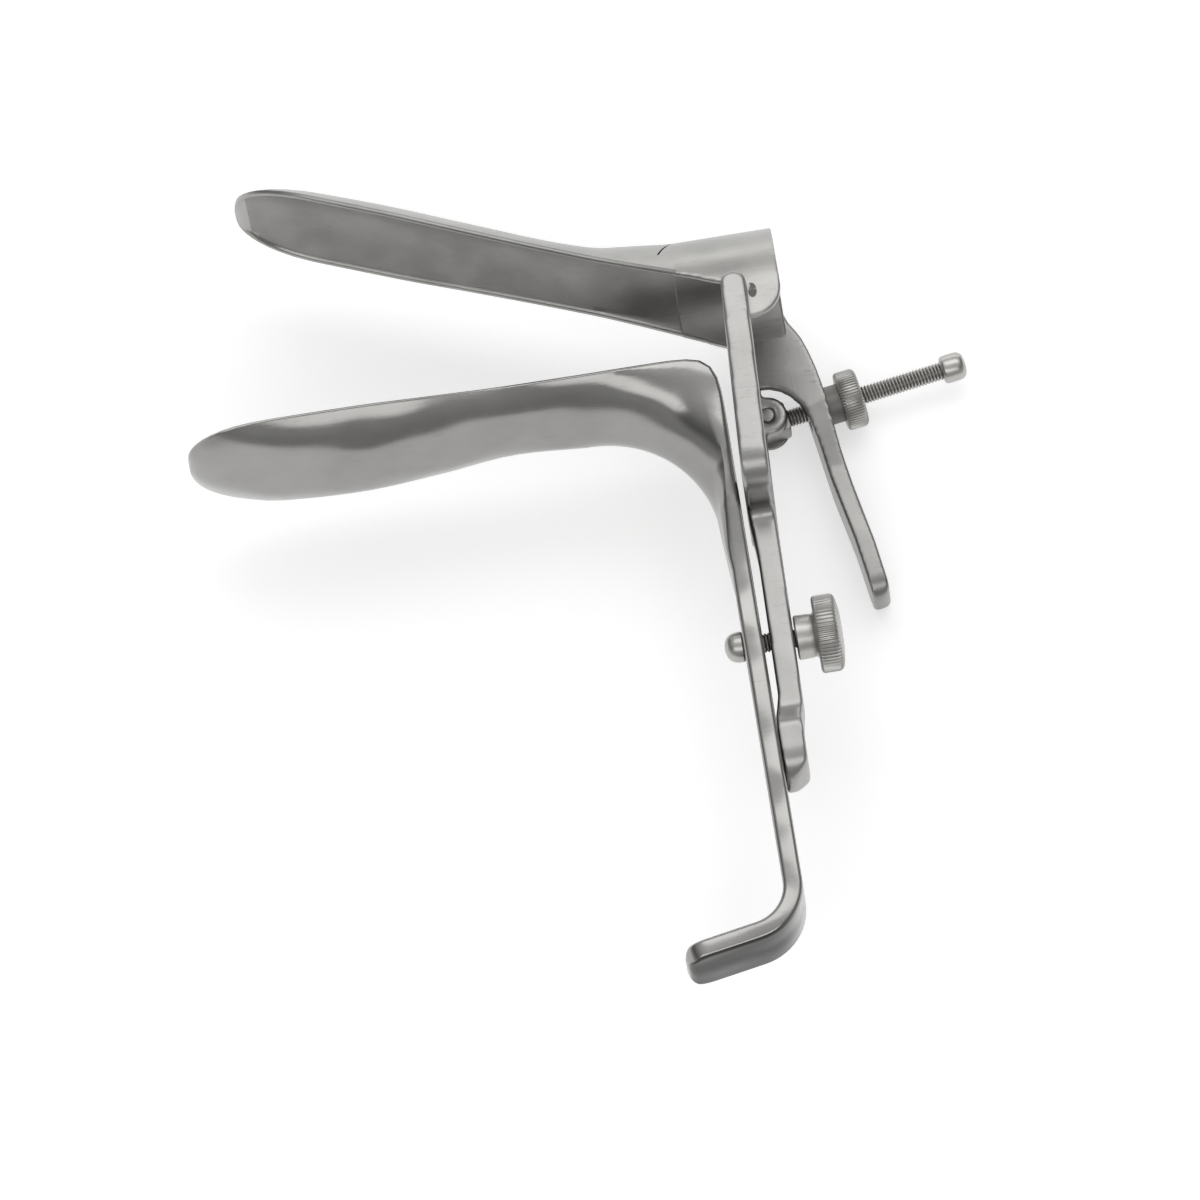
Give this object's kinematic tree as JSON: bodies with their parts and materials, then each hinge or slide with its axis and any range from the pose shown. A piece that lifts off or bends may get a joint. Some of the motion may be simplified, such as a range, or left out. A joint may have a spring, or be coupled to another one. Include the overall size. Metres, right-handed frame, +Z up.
{
  "type": "bivalve speculum",
  "caption": "Stainless two-blade speculum: hinged upper blade with thumb lever and screw stop, lower blade with slotted handle, sliding yoke and clamping knob.",
  "frame": {"origin": "bottom centre of the whole instrument's box, on the table it lies on", "axes": "+X from the blade tips to the adjusting screw's end, +Y from the foot to the upper blade, +Z up out of the table, along the blade hinge axis"},
  "size_m": [0.1608, 0.1832, 0.0521],
  "materials": {
    "satin_steel": "satin brushed stainless",
    "polished_steel": "polished stainless with soft waves",
    "turned_steel": "turned and knurled stainless",
    "dark_steel": "darkened threads and joints"
  },
  "bodies": {
    "lower": {"lower_blade": "polished_steel"},
    "yoke": {"yoke": "satin_steel", "near_hinge_rivet": "turned_steel", "far_hinge_rivet": "turned_steel", "swivel_pin": "dark_steel", "clamp_screw": "turned_steel"},
    "upper": {"upper_blade": "satin_steel", "blade_hood": "satin_steel", "thumb_lever": "satin_steel"},
    "rod": {"swivel_block": "dark_steel", "adjusting_rod": "dark_steel", "rod_end_stop": "turned_steel"},
    "nut": {"adjusting_nut": "turned_steel"},
    "knob": {"clamp_knob": "turned_steel"}
  },
  "joints": [
    {"name": "yoke_slide", "type": "slide", "parent": "lower", "child": "yoke", "axis": [0, 1, 0], "range_m": [-0.0115, 0.0085]},
    {"name": "blade_hinge", "type": "hinge", "parent": "yoke", "child": "upper", "pos_m": [0.03546, 0.04792, 0.03045], "axis": [0, 0, 1], "range_deg": [-8, 22.3]},
    {"name": "rod_swivel", "type": "hinge", "parent": "yoke", "child": "rod", "pos_m": [0.03816, 0.03432, 0.00615], "axis": [0, 0, 1], "range_deg": [-8.5, 23]},
    {"name": "nut_travel", "type": "slide", "parent": "rod", "child": "nut", "axis": [0.9882, 0.153, 0], "range_m": [-0.0022, 0.0062]},
    {"name": "knob_turn", "type": "hinge", "parent": "yoke", "child": "knob", "pos_m": [0.03846, -0.02288, 0.03045], "axis": [1, 0, 0], "continuous": true}
  ],
  "couplings": [
    {"joint": "rod_swivel", "follows": "blade_hinge", "ratio": 0.95},
    {"joint": "nut_travel", "follows": "blade_hinge", "m_per_rad": 0.0137}
  ]
}
